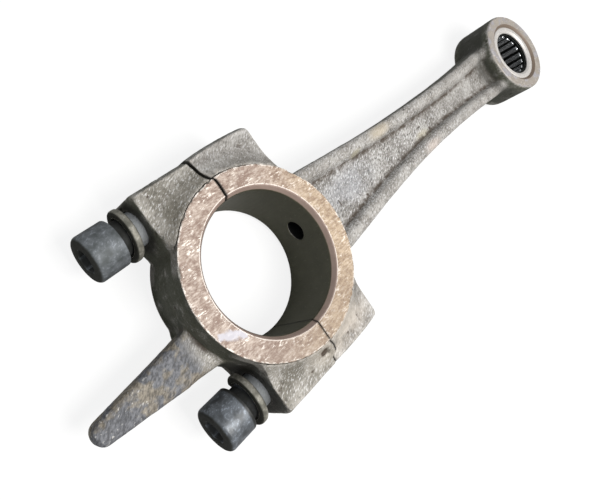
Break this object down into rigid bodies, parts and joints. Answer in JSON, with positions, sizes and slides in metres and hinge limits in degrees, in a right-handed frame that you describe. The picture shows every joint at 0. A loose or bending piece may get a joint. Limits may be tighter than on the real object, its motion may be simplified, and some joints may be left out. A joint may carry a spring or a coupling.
{
  "type": "connecting rod",
  "caption": "Connecting rod with a split big end, backed-out cap screws and lock washers, oil dipper on the cap, I-section shank and needle bearing in the small end.",
  "frame": {"origin": "centre of the crank bore, half way through its width", "axes": "+X along the shank to the wrist-pin eye, +Z along the crank bore, +Y across the shank towards the first cap screw"},
  "size_m": [0.2425, 0.071, 0.0256],
  "materials": {
    "rod_iron": "as-cast grey iron, sand texture, brown film in the hollows; machined faces tan",
    "cap_iron": "as-cast grey iron, oily and darker; machined faces tan",
    "screw_steel": "black-oxide steel, dull sheen",
    "washer_steel": "black-oxide spring steel, brownish",
    "ring_steel": "ground bearing steel",
    "cage_steel": "dark pressed steel",
    "roller_steel": "polished bearing steel"
  },
  "bodies": {
    "rod": {"rod_casting": "rod_iron", "needle_outer_ring": "ring_steel"},
    "cap": {"bearing_cap": "cap_iron"},
    "screw_1": {"cap_screw_1": "screw_steel"},
    "screw_2": {"cap_screw_2": "screw_steel"},
    "washer_1": {"lock_washer_1": "washer_steel"},
    "washer_2": {"lock_washer_2": "washer_steel"},
    "cage": {"needle_cage": "cage_steel"},
    "roller_01": {"needle_roller_01": "roller_steel"},
    "roller_02": {"needle_roller_02": "roller_steel"},
    "roller_03": {"needle_roller_03": "roller_steel"},
    "roller_04": {"needle_roller_04": "roller_steel"},
    "roller_05": {"needle_roller_05": "roller_steel"},
    "roller_06": {"needle_roller_06": "roller_steel"},
    "roller_07": {"needle_roller_07": "roller_steel"},
    "roller_08": {"needle_roller_08": "roller_steel"},
    "roller_09": {"needle_roller_09": "roller_steel"},
    "roller_10": {"needle_roller_10": "roller_steel"},
    "roller_11": {"needle_roller_11": "roller_steel"},
    "roller_12": {"needle_roller_12": "roller_steel"},
    "roller_13": {"needle_roller_13": "roller_steel"},
    "roller_14": {"needle_roller_14": "roller_steel"},
    "roller_15": {"needle_roller_15": "roller_steel"},
    "roller_16": {"needle_roller_16": "roller_steel"},
    "roller_17": {"needle_roller_17": "roller_steel"},
    "roller_18": {"needle_roller_18": "roller_steel"}
  },
  "joints": [
    {"name": "cap_removal", "type": "slide", "parent": "rod", "child": "cap", "axis": [-1, 0, 0], "range_m": [0, 0.045]},
    {"name": "screw_1_travel", "type": "slide", "parent": "cap", "child": "screw_1", "axis": [1, 0, 0], "range_m": [-0.0155, 0.00215]},
    {"name": "screw_2_travel", "type": "slide", "parent": "cap", "child": "screw_2", "axis": [1, 0, 0], "range_m": [-0.0155, 0.00255]},
    {"name": "washer_1_travel", "type": "slide", "parent": "cap", "child": "washer_1", "axis": [1, 0, 0], "range_m": [-0.0113, 0.00156]},
    {"name": "washer_2_travel", "type": "slide", "parent": "cap", "child": "washer_2", "axis": [1, 0, 0], "range_m": [-0.0113, 0.00186]},
    {"name": "cage_turn", "type": "hinge", "parent": "rod", "child": "cage", "pos_m": [0.1656, 0, 0], "axis": [0, 0, 1], "continuous": true},
    {"name": "roller_01_spin", "type": "hinge", "parent": "cage", "child": "roller_01", "pos_m": [0.17533, 0, 0], "axis": [0, 0, 1], "continuous": true},
    {"name": "roller_02_spin", "type": "hinge", "parent": "cage", "child": "roller_02", "pos_m": [0.17474, 0.00333, 0], "axis": [0, 0, 1], "continuous": true},
    {"name": "roller_03_spin", "type": "hinge", "parent": "cage", "child": "roller_03", "pos_m": [0.17305, 0.00625, 0], "axis": [0, 0, 1], "continuous": true},
    {"name": "roller_04_spin", "type": "hinge", "parent": "cage", "child": "roller_04", "pos_m": [0.17047, 0.00843, 0], "axis": [0, 0, 1], "continuous": true},
    {"name": "roller_05_spin", "type": "hinge", "parent": "cage", "child": "roller_05", "pos_m": [0.16729, 0.00958, 0], "axis": [0, 0, 1], "continuous": true},
    {"name": "roller_06_spin", "type": "hinge", "parent": "cage", "child": "roller_06", "pos_m": [0.16391, 0.00958, 0], "axis": [0, 0, 1], "continuous": true},
    {"name": "roller_07_spin", "type": "hinge", "parent": "cage", "child": "roller_07", "pos_m": [0.16073, 0.00843, 0], "axis": [0, 0, 1], "continuous": true},
    {"name": "roller_08_spin", "type": "hinge", "parent": "cage", "child": "roller_08", "pos_m": [0.15815, 0.00625, 0], "axis": [0, 0, 1], "continuous": true},
    {"name": "roller_09_spin", "type": "hinge", "parent": "cage", "child": "roller_09", "pos_m": [0.15646, 0.00333, 0], "axis": [0, 0, 1], "continuous": true},
    {"name": "roller_10_spin", "type": "hinge", "parent": "cage", "child": "roller_10", "pos_m": [0.15587, 0, 0], "axis": [0, 0, 1], "continuous": true},
    {"name": "roller_11_spin", "type": "hinge", "parent": "cage", "child": "roller_11", "pos_m": [0.15646, -0.00333, 0], "axis": [0, 0, 1], "continuous": true},
    {"name": "roller_12_spin", "type": "hinge", "parent": "cage", "child": "roller_12", "pos_m": [0.15815, -0.00625, 0], "axis": [0, 0, 1], "continuous": true},
    {"name": "roller_13_spin", "type": "hinge", "parent": "cage", "child": "roller_13", "pos_m": [0.16073, -0.00843, 0], "axis": [0, 0, 1], "continuous": true},
    {"name": "roller_14_spin", "type": "hinge", "parent": "cage", "child": "roller_14", "pos_m": [0.16391, -0.00958, 0], "axis": [0, 0, 1], "continuous": true},
    {"name": "roller_15_spin", "type": "hinge", "parent": "cage", "child": "roller_15", "pos_m": [0.16729, -0.00958, 0], "axis": [0, 0, 1], "continuous": true},
    {"name": "roller_16_spin", "type": "hinge", "parent": "cage", "child": "roller_16", "pos_m": [0.17047, -0.00843, 0], "axis": [0, 0, 1], "continuous": true},
    {"name": "roller_17_spin", "type": "hinge", "parent": "cage", "child": "roller_17", "pos_m": [0.17305, -0.00625, 0], "axis": [0, 0, 1], "continuous": true},
    {"name": "roller_18_spin", "type": "hinge", "parent": "cage", "child": "roller_18", "pos_m": [0.17474, -0.00333, 0], "axis": [0, 0, 1], "continuous": true}
  ],
  "couplings": [
    {"joint": "washer_1_travel", "follows": "screw_1_travel", "ratio": 0.72093},
    {"joint": "washer_2_travel", "follows": "screw_2_travel", "ratio": 0.72549},
    {"joint": "roller_01_spin", "follows": "cage_turn", "ratio": -8.8},
    {"joint": "roller_02_spin", "follows": "cage_turn", "ratio": -8.8},
    {"joint": "roller_03_spin", "follows": "cage_turn", "ratio": -8.8},
    {"joint": "roller_04_spin", "follows": "cage_turn", "ratio": -8.8},
    {"joint": "roller_05_spin", "follows": "cage_turn", "ratio": -8.8},
    {"joint": "roller_06_spin", "follows": "cage_turn", "ratio": -8.8},
    {"joint": "roller_07_spin", "follows": "cage_turn", "ratio": -8.8},
    {"joint": "roller_08_spin", "follows": "cage_turn", "ratio": -8.8},
    {"joint": "roller_09_spin", "follows": "cage_turn", "ratio": -8.8},
    {"joint": "roller_10_spin", "follows": "cage_turn", "ratio": -8.8},
    {"joint": "roller_11_spin", "follows": "cage_turn", "ratio": -8.8},
    {"joint": "roller_12_spin", "follows": "cage_turn", "ratio": -8.8},
    {"joint": "roller_13_spin", "follows": "cage_turn", "ratio": -8.8},
    {"joint": "roller_14_spin", "follows": "cage_turn", "ratio": -8.8},
    {"joint": "roller_15_spin", "follows": "cage_turn", "ratio": -8.8},
    {"joint": "roller_16_spin", "follows": "cage_turn", "ratio": -8.8},
    {"joint": "roller_17_spin", "follows": "cage_turn", "ratio": -8.8},
    {"joint": "roller_18_spin", "follows": "cage_turn", "ratio": -8.8}
  ]
}
